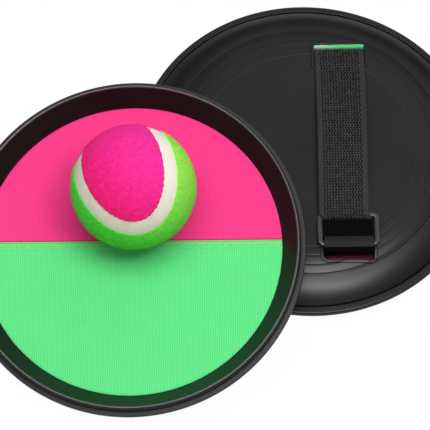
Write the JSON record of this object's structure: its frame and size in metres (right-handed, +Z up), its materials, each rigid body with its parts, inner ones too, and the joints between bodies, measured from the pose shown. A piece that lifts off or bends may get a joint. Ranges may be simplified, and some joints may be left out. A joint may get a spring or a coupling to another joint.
{
  "type": "hook and loop catch set",
  "caption": "Round hand-strapped catching dishes with pink and green hook-and-loop pads, and the felt ball that sticks to them.",
  "frame": {"origin": "on the floor, under the middle of the set's box", "axes": "+Z up; +X runs along the set's longest side, from the face-up dish that leans to the dish that lies face down; +Y runs towards the buried end of the face-down dish's hand strap"},
  "size_m": [0.276, 0.2594, 0.0932],
  "materials": {
    "black_plastic": "semi-gloss moulded black",
    "black_webbing": "matt woven webbing",
    "pink_pad": "ribbed loop fabric",
    "green_pad": "ribbed loop fabric",
    "cream_rubber": "matt",
    "pink_felt": "fuzzy felt",
    "green_felt": "fuzzy felt"
  },
  "bodies": {
    "root": {"front_dish": "black_plastic", "front_pad_pink": "pink_pad", "front_pad_green": "green_pad", "front_hand_strap": "black_webbing", "front_buckle_ring": "black_plastic", "rear_dish": "black_plastic", "rear_pad_pink": "pink_pad", "rear_pad_green": "green_pad", "rear_hand_strap": "black_webbing", "rear_buckle_ring": "black_plastic", "ball_core": "cream_rubber", "ball_felt_pink": "pink_felt", "ball_felt_green": "green_felt", "ball_seam_band": "cream_rubber"}
  },
  "joints": []
}
